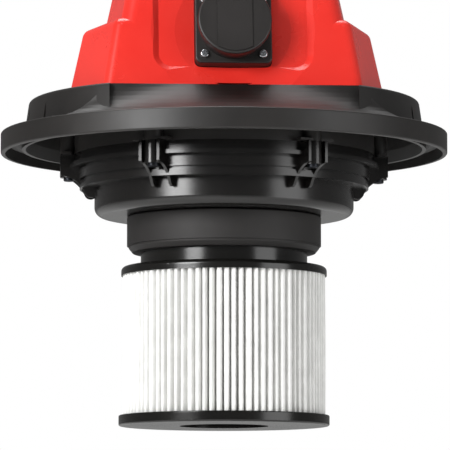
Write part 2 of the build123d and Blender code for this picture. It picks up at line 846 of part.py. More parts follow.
# Socket body: a square flange, a round collar in front and a barrel behind.
with BuildPart() as socket_body:
    with BuildSketch(socket_seat):
        with Locations((0, socket_height)):
            RectangleRounded(socket_size, socket_size, socket_corner)
    extrude(amount=plate_depth)
    plate_front = socket_body.faces().filter_by(
        lambda face: face.normal_at().dot(front_face.z_dir) > 0.99)
    fillet(plate_front.edges(), 1.0)
    with BuildSketch(front_face.offset(-socket_depth)):
        with Locations((0, socket_height)):
            Circle(socket_barrel_radius)
    extrude(amount=socket_depth + socket_front)
    with BuildSketch(socket_plate):
        with Locations((0, socket_height)):
            Circle(flap_radius - 1.5)
    extrude(amount=collar_front - socket_front)
    for side in (1, -1):
        with BuildSketch(hinge_plane.offset(side * outer_knuckle_x)):
            Circle(knuckle_radius)
            with Locations((-knuckle_radius, socket_front - hinge_front)):
                Rectangle(knuckle_radius + 1.0, hinge_front - socket_front + 2.0,
                          align=(Align.MIN, Align.MIN))
        extrude(amount=knuckle_width / 2, both=True)
    with BuildSketch(front_face.offset(collar_front)):
        with Locations((0, socket_height)):
            Circle(socket_bore)
    extrude(amount=-(collar_front + socket_depth - 2.0), mode=Mode.SUBTRACT)
    with BuildSketch(socket_plate):
        with Locations((0, socket_height)):
            with GridLocations(socket_pitch, socket_pitch, 2, 2):
                Circle(small_screw_radius)
    extrude(amount=-plate_depth, mode=Mode.SUBTRACT)
    with BuildSketch(hinge_plane):
        Circle(pin_radius)
    extrude(amount=outer_knuckle_x + knuckle_width, both=True, mode=Mode.SUBTRACT)
socket_body.part.label = "socket_body"
export_step(socket_body.part, "parts/socket_body.step")

# Socket insert: the block at the bottom of the recess with two pin holes.
insert_front = collar_front - socket_recess
with BuildPart() as socket_insert:
    with BuildSketch(front_face.offset(2.0 - socket_depth)):
        with Locations((0, socket_height)):
            Circle(socket_bore)
    extrude(amount=insert_front + socket_depth - 2.0)
    with BuildSketch(front_face.offset(insert_front)):
        with Locations((0, socket_height)):
            with GridLocations(19.0, 1, 2, 1):
                Circle(2.5)
            with GridLocations(1, 2 * socket_bore, 1, 2):
                Rectangle(6.0, 4.0)
    extrude(amount=-12.0, mode=Mode.SUBTRACT)
socket_insert.part.label = "socket_insert"
export_step(socket_insert.part, "parts/socket_insert.step")

# Earth clips: two sprung strips at the top and the bottom of the recess.
with BuildPart() as earth_clips:
    with BuildSketch(front_face.offset(insert_front - 12.0)):
        with Locations((0, socket_height)):
            with GridLocations(1, 2 * (socket_bore - 1.0), 1, 2):
                Rectangle(5.0, 1.0)
    extrude(amount=24.0)
earth_clips.part.label = "earth_clips"
export_step(earth_clips.part, "parts/earth_clips.step")

socket_screw = pan_screw(small_screw_radius - running_fit, 20.0, 2.0)
with BuildPart() as socket_screws:
    with Locations(socket_plate):
        with Locations((0, socket_height)):
            with GridLocations(socket_pitch, socket_pitch, 2, 2):
                add(socket_screw)
socket_screws.part.label = "socket_screws"
export_step(socket_screws.part, "parts/socket_screws.step")

with BuildPart() as flap_pin:
    with BuildSketch(hinge_plane):
        Circle(pin_radius)
    extrude(amount=outer_knuckle_x + knuckle_width / 2, both=True)
flap_pin.part.label = "flap_pin"
export_step(flap_pin.part, "parts/flap_pin.step")

# Flap spring: wound round the pin between the flap's knuckles.
spring_wire = 0.4
spring_turns = 5
spring_pitch = 1.6
with BuildPart() as flap_spring:
    with BuildLine() as coil_line:
        Helix(
            spring_pitch,
            spring_turns * spring_pitch,
            pin_radius + spring_wire + running_fit,
            center=hinge_plane.offset(-spring_turns * spring_pitch / 2).origin,
            direction=(1, 0, 0),
        )
    with BuildSketch(Plane(origin=coil_line.line @ 0, z_dir=coil_line.line % 0)):
        Circle(spring_wire)
    sweep(is_frenet=True)
flap_spring.part.label = "flap_spring"
export_step(flap_spring.part, "parts/flap_spring.step")

# Flap: a round lid with a raised band, hinged above the socket.
with BuildPart() as socket_flap:
    with BuildSketch(front_face.offset(flap_front - flap_thickness)):
        with Locations((0, socket_height)):
            Circle(flap_radius)
    extrude(amount=flap_thickness)
    flap_rim = socket_flap.edges().filter_by(GeomType.CIRCLE).sort_by(
        lambda edge: edge.center().dot(front_face.z_dir))[-1]
    fillet(flap_rim, 1.4)
    with BuildSketch(front_face.offset(flap_front)):
        with Locations((0, socket_height)):
            Circle(flap_radius - 1.8)
            Rectangle(flap_band, 2 * flap_radius, mode=Mode.INTERSECT)
    extrude(amount=0.8)
    for side in (1, -1):
        with BuildSketch(hinge_plane.offset(side * inner_knuckle_x)):
            Circle(knuckle_radius)
            with Locations((-2 * knuckle_radius, flap_front - flap_thickness - hinge_front)):
                Rectangle(3 * knuckle_radius, flap_thickness - 1.5, align=(Align.MIN, Align.MIN))
            with Locations((-knuckle_radius, 0)):
                Rectangle(2 * knuckle_radius, flap_front - flap_thickness - hinge_front,
                          align=(Align.MIN, Align.MIN))
        extrude(amount=knuckle_width / 2, both=True)
    with BuildSketch(hinge_plane):
        Circle(pin_radius + running_fit)
    extrude(amount=outer_knuckle_x, both=True, mode=Mode.SUBTRACT)
socket_flap.part.label = "socket_flap"
export_step(socket_flap.part, "parts/socket_flap.step")

# ------------------------------------------------------------------ selector switch

bezel_face = front_face.offset(-panel_depth)
bezel_height = 2.0
switch_size = 26.0
switch_depth = 10.0
stem_radius = 3.0

with BuildPart() as switch_bezel:
    with BuildSketch(bezel_face):
        with Locations((0, knob_height)):
            Circle(bezel_radius)
            Circle(knob_radius / 2 - 0.5, mode=Mode.SUBTRACT)
    extrude(amount=bezel_height)
switch_bezel.part.label = "switch_bezel"
export_step(switch_bezel.part, "parts/switch_bezel.step")

with BuildPart() as switch_body:
    with BuildSketch(bezel_face.offset(-cover_wall)):
        with Locations((0, knob_height)):
            Rectangle(switch_size, switch_size)
    extrude(amount=-switch_depth)
    with BuildSketch(bezel_face.offset(-cover_wall)):
        with Locations((0, knob_height)):
            Circle(stem_radius + running_fit)
    extrude(amount=-switch_depth / 2, mode=Mode.SUBTRACT)
    with BuildSketch(bezel_face.offset(-cover_wall - switch_depth)):
        with Locations((0, knob_height)):
            with GridLocations(9.0, 12.0, 2, 2):
                Rectangle(6.0, 0.8)
    extrude(amount=-4.0)
switch_body.part.label = "switch_body"
export_step(switch_body.part, "parts/switch_body.step")

# Selector knob: a round grip with a raised pointer and a stem into the switch.
with BuildPart() as selector_knob:
    with BuildSketch(bezel_face.offset(bezel_height + clearance)):
        with Locations((0, knob_height)):
            Circle(knob_radius)
    extrude(amount=knob_depth / 3, taper=4)
    with BuildSketch(bezel_face.offset(bezel_height + clearance)):
        with Locations((0, knob_height)):
            SlotOverall(2 * knob_radius - 2.0, 9.0, rotation=90)
    extrude(amount=knob_depth, taper=4)
    with BuildSketch(bezel_face.offset(bezel_height + clearance)):
        with Locations((0, knob_height)):
            Circle(stem_radius)
    extrude(amount=-(bezel_height + 2 * clearance + cover_wall + switch_depth / 2 - 1.0))
selector_knob.part.label = "selector_knob"
export_step(selector_knob.part, "parts/selector_knob.step")

# ------------------------------------------------------------------ ports at the back

blow_outer = port_bore + port_wall
with BuildPart() as blow_port:
    with BuildSketch(rear_face):
        with Locations((0, port_height)):
            Circle(blow_outer + 8.0)
    extrude(amount=4.0)
    with BuildSketch(rear_face.offset(-16.0)):
        with Locations((0, port_height)):
            Circle(blow_outer)
    extrude(amount=16.0 + port_length)
    with BuildSketch(rear_face.offset(port_length)):
        with Locations((0, port_height)):
            Circle(port_bore)
    extrude(amount=-(16.0 + port_length), mode=Mode.SUBTRACT)
    with BuildSketch(rear_face.offset(port_length)):
        with Locations((0, port_height)):
            Rectangle(2 * blow_outer + 2.0, 7.0)
            Circle(port_bore - 1.0, mode=Mode.SUBTRACT)
    extrude(amount=-9.0, mode=Mode.SUBTRACT)
blow_port.part.label = "blow_port"
export_step(blow_port.part, "parts/blow_port.step")

with BuildPart() as cable_gland:
    with BuildSketch(rear_face):
        with Locations((-gland_offset, gland_height)):
            Circle(gland_radius + 4.0)
    extrude(amount=5.0, taper=12)
    with BuildSketch(rear_face.offset(5.0)):
        with Locations((-gland_offset, gland_height)):
            Circle(gland_radius)
    extrude(amount=14.0, taper=8)
    with BuildSketch(rear_face.offset(-14.0)):
        with Locations((-gland_offset, gland_height)):
            Circle(gland_radius)
    extrude(amount=14.0)
    with BuildSketch(rear_face.offset(20.0)):
        with Locations((-gland_offset, gland_height)):
            Circle(cord_bore)
    extrude(amount=-40.0, mode=Mode.SUBTRACT)
cable_gland.part.label = "cable_gland"
export_step(cable_gland.part, "parts/cable_gland.step")

with BuildPart() as gland_nut:
    with BuildSketch(rear_face.offset(-cover_wall / reach)):
        with Locations((-gland_offset, gland_height)):
            RegularPolygon(gland_radius + 4.0, 6)
            Circle(gland_radius, mode=Mode.SUBTRACT)
    extrude(amount=-5.0)
gland_nut.part.label = "gland_nut"
export_step(gland_nut.part, "parts/gland_nut.step")

# ------------------------------------------------------------------ fan and motor

can_z = pot_floor_z + mount_ring_height
can_top_z = can_z + can_height
bracket_top_z = can_top_z + bracket_thickness
core_z = bracket_top_z + 16.8
core_top_z = core_z + core_length
bearing_z = can_top_z - bearing_height + bracket_thickness
upper_bracket_z = core_top_z + 28.0
upper_bearing_z = upper_bracket_z + bracket_thickness
shaft_z = can_z + can_wall + 0.8
impeller_z = shaft_z + 4.2
impeller_top_z = impeller_z + impeller_height
cooling_fan_z = upper_bearing_z + bearing_height + 3.0
cooling_fan_height = 12.0
shaft_top_z = cooling_fan_z + cooling_fan_height + 1.0


def ring(inner, outer_radius, low, high):
    """A plain ring on the vertical axis."""
    with BuildPart() as body:
        with BuildSketch(Plane.XY.offset(low)):
            Circle(outer_radius)
            Circle(inner, mode=Mode.SUBTRACT)
        extrude(amount=high - low)
    return body


lower_rubber_ring = ring(38.0, 50.0, pot_floor_z, can_z)
lower_rubber_ring.part.label = "lower_rubber_ring"
export_step(lower_rubber_ring.part, "parts/lower_rubber_ring.step")

# Fan housing: a pressed can with the air eye below and outlets round its top.
with BuildPart() as fan_housing:
    with BuildSketch(Plane.XY.offset(can_z)):
        Circle(can_radius)
    extrude(amount=can_height)
    fillet(fan_housing.edges().group_by(Axis.Z)[0], 3.0)
    with BuildSketch(Plane.XY.offset(can_z + can_wall)):
        Circle(can_radius - can_wall)
    extrude(amount=can_height, mode=Mode.SUBTRACT)
    with BuildSketch(Plane.XY.offset(can_z)):
        Circle(can_eye_radius)
    extrude(amount=can_wall, mode=Mode.SUBTRACT)
    with Locations((0, 0, can_top_z - 9.0)):
        with PolarLocations(can_radius, 12):
            Box(4 * can_wall, 16.0, 9.0, mode=Mode.SUBTRACT)
fan_housing.part.label = "fan_housing"
export_step(fan_housing.part, "parts/fan_housing.step")


def bracket_legs(low, high):
    """Two legs at the sides of the stator."""
    with Locations((0, 0, low)):
        with GridLocations(2 * core_radius - leg_reach, 1, 2, 1):
            Box(leg_reach, leg_width, high - low, align=(Align.CENTER, Align.CENTER, Align.MIN))


# Lower bracket: closes the can, holds the lower bearing and carries the stator.
with BuildPart() as lower_bracket:
    with BuildSketch(Plane.XY.offset(can_top_z)):
        Circle(can_radius)
    extrude(amount=bracket_thickness)
    with BuildSketch(Plane.XY.offset(bearing_z - 1.0)):
        Circle(bearing_radius + bracket_thickness)
    extrude(amount=can_top_z - bearing_z + 1.0)
    with BuildSketch(Plane.XY.offset(bearing_z)):
        Circle(bearing_radius)
    extrude(amount=bearing_height, mode=Mode.SUBTRACT)
    with BuildSketch(Plane.XY.offset(bearing_z - 1.0)):
        Circle(shaft_radius + 1.0)
    extrude(amount=1.0, mode=Mode.SUBTRACT)
    bracket_legs(bracket_top_z, core_z)
lower_bracket.part.label = "lower_bracket"
export_step(lower_bracket.part, "parts/lower_bracket.step")

lower_bearing = ring(
    shaft_radius + running_fit, bearing_radius, bearing_z, bearing_z + bearing_height
)
lower_bearing.part.label = "lower_bearing"
export_step(lower_bearing.part, "parts/lower_bearing.step")

upper_bearing = ring(
    shaft_radius + running_fit,
    bearing_radius,
    upper_bearing_z,
    upper_bearing_z + bearing_height,
)
upper_bearing.part.label = "upper_bearing"
export_step(upper_bearing.part, "parts/upper_bearing.step")

# Upper bracket: a cross over the stator with the cup of the upper bearing.
with BuildPart() as upper_bracket:
    with BuildSketch(Plane.XY.offset(upper_bracket_z)):
        Rectangle(2 * core_radius, bracket_width)
        Rectangle(bracket_width, 2 * core_radius - 4.0)
        Circle(bearing_radius + bracket_thickness)
    extrude(amount=bracket_thickness)
    with BuildSketch(Plane.XY.offset(upper_bearing_z)):
        Circle(bearing_radius + bracket_thickness)
        Circle(bearing_radius, mode=Mode.SUBTRACT)
    extrude(amount=bearing_height)
    with BuildSketch(Plane.XY.offset(upper_bracket_z)):
        Circle(shaft_radius + 1.0)
    extrude(amount=bracket_thickness, mode=Mode.SUBTRACT)
    bracket_legs(core_top_z, upper_bracket_z)
upper_bracket.part.label = "upper_bracket"
export_step(upper_bracket.part, "parts/upper_bracket.step")

# Stator: the laminated core with four slots, and two field coils through them.
coil_angle = 35.0
with BuildPart() as stator_core:
    with BuildSketch(Plane.XY.offset(core_z)):
        Circle(core_radius)
        Circle(bore_radius, mode=Mode.SUBTRACT)
        for angle in (coil_angle, 180 - coil_angle, 180 + coil_angle, -coil_angle):
            with PolarLocations(coil_ring_radius, 1, start_angle=angle):
                Circle(coil_radius, mode=Mode.SUBTRACT)
                with Locations((-coil_radius, 0)):
                    Rectangle(2 * coil_radius, 3.0, mode=Mode.SUBTRACT)
    extrude(amount=core_length)
stator_core.part.label = "stator_core"
export_step(stator_core.part, "parts/stator_core.step")

end_turn = coil_radius + 2.4
with BuildPart() as field_coil:
    for level in (core_z - end_turn, core_top_z + end_turn):
        start = Plane.XZ.rotated((0, 0, coil_angle))
        with BuildSketch(start):
            with Locations((coil_ring_radius, level)):
                Circle(coil_radius)
        revolve(axis=Axis.Z, revolution_arc=180 - 2 * coil_angle)
    with BuildSketch(Plane.XY.offset(core_z - end_turn)):
        for angle in (coil_angle, 180 - coil_angle):
            with PolarLocations(coil_ring_radius, 1, start_angle=angle):
                Circle(coil_radius)
    extrude(amount=core_length + 2 * end_turn)
with BuildPart() as field_windings:
    add(field_coil.part)
    add(field_coil.part, rotation=(0, 0, 180))
field_windings.part.label = "field_windings"
export_step(field_windings.part, "parts/field_windings.step")

# Brush gear: an insulated holder and a carbon brush on each side of the commutator.
brush_z = core_top_z + 19.0
brush_width = 6.0
brush_height = 8.0
holder_inner = commutator_radius + 4.0
holder_outer = core_radius - 2.0
with BuildPart() as brush_holders:
    for side in (1, -1):
        with Locations((0, side * (holder_inner + holder_outer) / 2, upper_bracket_z)):
            Box(
                brush_width + 8.0,
                holder_outer - holder_inner,
                upper_bracket_z - brush_z + 6.5,
                align=(Align.CENTER, Align.CENTER, Align.MAX),
            )
    with Locations((0, 0, brush_z)):
        Box(brush_width, 3 * core_radius, brush_height, mode=Mode.SUBTRACT)
brush_holders.part.label = "brush_holders"
export_step(brush_holders.part, "parts/brush_holders.step")

brush_length = 20.0
brush_middle = commutator_radius + clearance + brush_length / 2
with BuildPart() as carbon_brushes:
    for side in (1, -1):
        with Locations((0, side * brush_middle, brush_z)):
            Box(brush_width, brush_length, brush_height)
carbon_brushes.part.label = "carbon_brushes"
export_step(carbon_brushes.part, "parts/carbon_brushes.step")

# ------------------------------------------------------------------ rotor

with BuildPart() as motor_shaft:
    with BuildSketch(Plane.XY.offset(shaft_z)):
        Circle(shaft_radius)
    extrude(amount=shaft_top_z - shaft_z)
    chamfer(motor_shaft.edges().filter_by(GeomType.CIRCLE), 0.6)
motor_shaft.part.label = "motor_shaft"
export_step(motor_shaft.part, "parts/motor_shaft.step")

rotor_radius = bore_radius - air_gap
with BuildPart() as armature_core:
    with BuildSketch(Plane.XY.offset(core_z)):
        Circle(rotor_radius)
        Circle(shaft_radius, mode=Mode.SUBTRACT)
        with PolarLocations(rotor_radius, 12):
            Rectangle(12.0, 2.4, mode=Mode.SUBTRACT)
    extrude(amount=core_length)
armature_core.part.label = "armature_core"
export_step(armature_core.part, "parts/armature_core.step")

# Armature windings: the rounded end turns on both ends of the core.
with BuildPart() as armature_windings:
    for low, high in ((core_z - 9.0, core_z), (core_top_z, core_top_z + 9.0)):
        with BuildSketch(Plane.XZ):
            with Locations(((shaft_radius + rotor_radius - 3.0) / 2, (low + high) / 2)):
                RectangleRounded(rotor_radius - 3.0 - shaft_radius, high - low, 3.0)
        revolve(axis=Axis.Z)
armature_windings.part.label = "armature_windings"
export_step(armature_windings.part, "parts/armature_windings.step")

commutator_z = brush_z - commutator_length / 2
with BuildPart() as commutator:
    with BuildSketch(Plane.XY.offset(commutator_z)):
        Circle(commutator_radius)
        Circle(shaft_radius, mode=Mode.SUBTRACT)
    extrude(amount=commutator_length)
commutator.part.label = "commutator"
export_step(commutator.part, "parts/commutator.step")

# Impeller: a closed wheel with swept blades between two thin discs.
plate = 1.5
blade_tip = impeller_radius - 1.0
blade_middle = (can_eye_radius + blade_tip) / 2
blade_bow = 0.35 * (blade_tip - can_eye_radius)
with BuildPart() as blade:
    with BuildSketch(Plane.XY.offset(impeller_z + plate / 2)):
        with BuildLine():
            ThreePointArc((can_eye_radius, 0), (blade_middle, blade_bow), (blade_tip, 0))
            Line((blade_tip, 0), (blade_tip - plate, -plate))
            ThreePointArc(
                (blade_tip - plate, -plate),
                (blade_middle, blade_bow - 1.2 * plate),
                (can_eye_radius + plate, -plate),
            )
            Line((can_eye_radius + plate, -plate), (can_eye_radius, 0))
        make_face()
    extrude(amount=impeller_height - plate)
with BuildPart() as impeller:
    with BuildSketch(Plane.XY.offset(impeller_z)):
        Circle(impeller_radius)
        Circle(can_eye_radius + 1.0, mode=Mode.SUBTRACT)
    extrude(amount=plate)
    with BuildSketch(Plane.XY.offset(impeller_top_z - plate)):
        Circle(impeller_radius)
    extrude(amount=plate)
    with PolarLocations(0, blade_count):
        add(blade.part)
    with BuildSketch(Plane.XY.offset(impeller_z)):
        Circle(2 * shaft_radius)
    extrude(amount=impeller_height)
    with BuildSketch(Plane.XY.offset(impeller_z)):
        Circle(shaft_radius)
    extrude(amount=impeller_height, mode=Mode.SUBTRACT)
impeller.part.label = "impeller"
export_step(impeller.part, "parts/impeller.step")

with BuildPart() as impeller_nut:
    with BuildSketch(Plane.XY.offset(shaft_z + 0.6)):
        RegularPolygon(7.0, 6)
        Circle(shaft_radius, mode=Mode.SUBTRACT)
    extrude(amount=impeller_z - shaft_z - 0.6)
impeller_nut.part.label = "impeller_nut"
export_step(impeller_nut.part, "parts/impeller_nut.step")

# Cooling fan: open radial blades that draw air over the windings.
with BuildPart() as cooling_fan:
    with BuildSketch(Plane.XY.offset(cooling_fan_z)):
        Circle(cooling_fan_radius)
    extrude(amount=plate)
    with BuildSketch(Plane.XY.offset(cooling_fan_z)):
        Circle(2 * shaft_radius)
        with PolarLocations(0.6 * cooling_fan_radius, 12):
            Rectangle(0.76 * cooling_fan_radius, 1.4)
    extrude(amount=cooling_fan_height)
    with BuildSketch(Plane.XY.offset(cooling_fan_z)):
        Circle(shaft_radius)
    extrude(amount=cooling_fan_height, mode=Mode.SUBTRACT)
cooling_fan.part.label = "cooling_fan"
export_step(cooling_fan.part, "parts/cooling_fan.step")

# ------------------------------------------------------------------ hood, foam, board

hood_top_z = rim_top_z + hood_height
hood_flange = well_radius - lid_wall - 0.5
with BuildPart() as motor_hood:
    with BuildSketch(Plane.XY.offset(rim_top_z)):
        Circle(hood_flange)
    extrude(amount=lid_wall)
    with BuildSketch(Plane.XY.offset(rim_top_z)):
        Circle(hood_radius)
    extrude(amount=hood_height)
    fillet(motor_hood.edges().group_by(Axis.Z)[-1], 5.0)
    with BuildSketch(Plane.XY.offset(rim_top_z)):
        Circle(hood_radius - hood_wall)
    extrude(amount=hood_height - hood_wall, mode=Mode.SUBTRACT)
    with BuildSketch(Plane.XY.offset(hood_top_z)):
        with PolarLocations(hood_radius / 2, 16):
            SlotOverall(24.0, 4.0)
    extrude(amount=-2 * hood_wall, mode=Mode.SUBTRACT)
    with BuildSketch(Plane.XY.offset(rim_top_z)):
        with PolarLocations(hood_screw_circle, 4, start_angle=45):
            Circle(small_screw_radius)
    extrude(amount=lid_wall, mode=Mode.SUBTRACT)
motor_hood.part.label = "motor_hood"
export_step(motor_hood.part, "parts/motor_hood.step")

upper_rubber_ring = ring(hood_radius - hood_wall, can_radius - 2.0, bracket_top_z, rim_top_z)
upper_rubber_ring.part.label = "upper_rubber_ring"
export_step(upper_rubber_ring.part, "parts/upper_rubber_ring.step")

hood_screw = pan_screw(small_screw_radius - running_fit, 2 * lid_wall, 2.0)
with BuildPart() as hood_screws:
    with Locations((0, 0, rim_top_z + lid_wall)):
        with PolarLocations(hood_screw_circle, 4, start_angle=45):
            add(hood_screw)
hood_screws.part.label = "hood_screws"
export_step(hood_screws.part, "parts/hood_screws.step")

with BuildPart() as sound_foam:
    with BuildSketch(Plane.XY.offset(rim_top_z + lid_wall)):
        Circle(hood_flange - 0.5)
        Circle(hood_radius, mode=Mode.SUBTRACT)
        with PolarLocations(hood_screw_circle, 4, start_angle=45):
            Circle(3 * small_screw_radius, mode=Mode.SUBTRACT)
    extrude(amount=deck_z - rim_top_z - lid_wall - 1.0)
sound_foam.part.label = "sound_foam"
export_step(sound_foam.part, "parts/sound_foam.step")

with BuildPart() as control_board:
    with BuildSketch(Plane.YZ.offset(board_x)):
        with Locations((0, board_z)):
            Rectangle(board_width, board_height)
    extrude(amount=board_thickness)
control_board.part.label = "control_board"
export_step(control_board.part, "parts/control_board.step")


def board_box(y, z, width, height, depth):
    """A component on the inner face of the board."""
    with BuildPart() as body:
        with BuildSketch(Plane.YZ.offset(board_x)):
            with Locations((y, z)):
                Rectangle(width, height)
        extrude(amount=-depth)
        fillet(body.faces().sort_by(Axis.X)[0].edges(), 0.8)
    return body


board_capacitor = board_box(-14.0, board_z - 5.0, 20.0, 12.0, 11.0)
board_capacitor.part.label = "board_capacitor"
export_step(board_capacitor.part, "parts/board_capacitor.step")

board_relay = board_box(14.0, board_z - 4.0, 15.0, 14.0, 11.0)
board_relay.part.label = "board_relay"
export_step(board_relay.part, "parts/board_relay.step")

terminal_block = board_box(0.0, board_z + 10.0, 36.0, 7.0, 9.0)
terminal_block.part.label = "terminal_block"
export_step(terminal_block.part, "parts/terminal_block.step")
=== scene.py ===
"""Looks for a shop vacuum's power head: finishes, pleated cartridge, foam and studio."""

import json
import math
import random

import bmesh
import bpy
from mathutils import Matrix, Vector


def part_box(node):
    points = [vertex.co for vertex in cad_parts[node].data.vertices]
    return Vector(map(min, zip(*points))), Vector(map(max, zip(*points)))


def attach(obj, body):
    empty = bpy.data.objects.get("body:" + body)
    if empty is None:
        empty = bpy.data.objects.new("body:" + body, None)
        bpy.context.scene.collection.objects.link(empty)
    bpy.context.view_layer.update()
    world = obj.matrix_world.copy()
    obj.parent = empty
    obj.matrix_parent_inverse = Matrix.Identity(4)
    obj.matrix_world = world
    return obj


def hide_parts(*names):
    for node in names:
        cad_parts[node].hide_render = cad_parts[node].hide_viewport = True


bl_info = {
    "name": "Shop vacuum power head",
    "version": (1, 0, 0),
    "blender": (4, 5, 0),
    "location": "View3D > Sidebar > Power Head",
    "description": "Finishes the packed power head and sets up its studio",
    "category": "Object",
}

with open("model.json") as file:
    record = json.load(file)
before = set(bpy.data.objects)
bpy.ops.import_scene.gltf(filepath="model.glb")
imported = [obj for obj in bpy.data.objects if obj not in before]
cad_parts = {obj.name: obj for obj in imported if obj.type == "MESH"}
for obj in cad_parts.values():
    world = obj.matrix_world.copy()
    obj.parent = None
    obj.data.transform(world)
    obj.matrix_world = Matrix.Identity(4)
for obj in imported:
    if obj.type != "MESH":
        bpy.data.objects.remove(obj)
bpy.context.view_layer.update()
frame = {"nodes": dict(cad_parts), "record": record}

MM = 0.001
MM_PER_METRE = 1000.0
WHITE = (1.0, 1.0, 1.0, 1.0)
# Scale of the wave texture at which its bands are one millimetre apart.
WAVE_SCALE = 314.0
FINISHES = {}

# Pleats: how blunt a fold's tip is, how far its middle leans, and how its foot wanders.
STEPS_PER_PLEAT, PLEAT_ROWS, PLEAT_SEED = 16, 30, 7
PLEAT_BLUNTNESS, PLEAT_LEAN = 3.2, 0.0003
WANDER, WANDER_WAVES, WANDER_STAGGER, WANDER_SHARE = 0.25, 9, 2.1, 0.3
PAPER_GAP, PAPER_LIFT, PAPER_BOND, PAPER_BACK = 0.3 * MM, 0.5 * MM, 2.5 * MM, 2.5 * MM
PLEAT_BULGE = 0.7 * MM

# Foam: its radii, the gap above and below it, how square its section is, its unevenness.
FOAM_INNER, FOAM_OUTER, FOAM_GAP = 60.0 * MM, 81.0 * MM, 0.3 * MM
FOAM_AROUND, FOAM_SECTION, FOAM_SEED = 144, 28, 3
FOAM_SQUARENESS, FOAM_UNEVENNESS = 0.45, 0.02

# Studio, in metres. Softboxes: name, place, side, the power each takes, its share of it.
FLOOR_RADIUS, FLOOR_SIDES = 6.0, 96
SOFTBOXES = (
    ("key_softbox", (-1.5, -1.5, 0.75), 0.9, "key_power", 1.0),
    ("fill_softbox", (1.7, -1.2, 0.25), 1.2, "fill_power", 1.0),
    ("top_softbox", (-0.3, 0.2, 1.7), 1.0, "fill_power", 1.6),
)
WINDOW_DIRECTION, WINDOW_SPREAD = (-0.2, -0.35, -1.0), math.radians(50)
SENSOR_WIDTH, VIEW_REACH, SIDE_SHIFT = 36.0, 50.0, 0.0022


# ---------------------------------------------------------------- colours and nodes


def linear(hex_colour):
    """An sRGB hex colour as linear red, green, blue and alpha."""
    channels = [int(hex_colour[i:i + 2], 16) / 255 for i in (0, 2, 4)]
    toned = [c / 12.92 if c <= 0.04045 else ((c + 0.055) / 1.055) ** 2.4 for c in channels]
    return (*toned, 1.0)


def add_node(tree, kind, settings=None, links=None):
    """One node with its settings: attribute names, or input sockets by name or number."""
    node = tree.nodes.new(kind)
    for key, value in (settings or {}).items():
        if isinstance(key, int) or key in node.inputs:
            node.inputs[key].default_value = value
        else:
            setattr(node, key, value)
    for key, output in (links or {}).items():
        tree.links.new(output, node.inputs[key])
    return node


def finish_material(name, shades, grain, depth, gloss, patch=60.0, pattern="grain", **shader):
    """A procedural surface.

    shades: two hex colours that drift into each other over patch millimetres.
    grain: size of the surface grain in millimetres. depth: its height in millimetres.
    gloss: lowest and highest roughness. pattern: grain, bands or cells.
    shader: numbers set on the shader itself.
    """
    material = bpy.data.materials.new(name)
    material.use_nodes = True
    tree = material.node_tree
    tree.nodes.clear()
    place = add_node(tree, "ShaderNodeTexCoord").outputs["Object"]
    drift = add_node(
        tree, "ShaderNodeTexNoise",
        {"Scale": MM_PER_METRE / patch, "Detail": 4.0, "Roughness": 0.6},
        {"Vector": place},
    )
    shade = add_node(tree, "ShaderNodeValToRGB", links={"Fac": drift.outputs["Fac"]})
    shade.color_ramp.elements[0].position = 0.35
    shade.color_ramp.elements[1].position = 0.65
    shade.color_ramp.elements[0].color = linear(shades[0])
    shade.color_ramp.elements[1].color = linear(shades[1])
    if pattern == "bands":
        height = add_node(
            tree, "ShaderNodeTexWave",
            {"Scale": WAVE_SCALE / grain, "bands_direction": "Z", "Distortion": 0.4},
            {"Vector": place},
        ).outputs["Fac"]
    elif pattern == "cells":
        height = add_node(
            tree, "ShaderNodeTexVoronoi",
            {"Scale": MM_PER_METRE / grain},
            {"Vector": place},
        ).outputs["Distance"]
    else:
        height = add_node(
            tree, "ShaderNodeTexNoise",
            {"Scale": MM_PER_METRE / grain, "Detail": 3.0, "Roughness": 0.55},
            {"Vector": place},
        ).outputs["Fac"]
    relief = add_node(
        tree, "ShaderNodeBump", {"Strength": 1.0, "Distance": depth * MM}, {"Height": height}
    )
    rough = add_node(
        tree, "ShaderNodeMapRange",
        {"From Min": 0.3, "From Max": 0.7, "To Min": gloss[0], "To Max": gloss[1]},
        {"Value": drift.outputs["Fac"]},
    )
    surface = add_node(
        tree, "ShaderNodeBsdfPrincipled", shader,
        {
            "Base Color": shade.outputs["Color"],
            "Roughness": rough.outputs["Result"],
            "Normal": relief.outputs["Normal"],
        },
    )
    add_node(tree, "ShaderNodeOutputMaterial", links={"Surface": surface.outputs["BSDF"]})
    return material


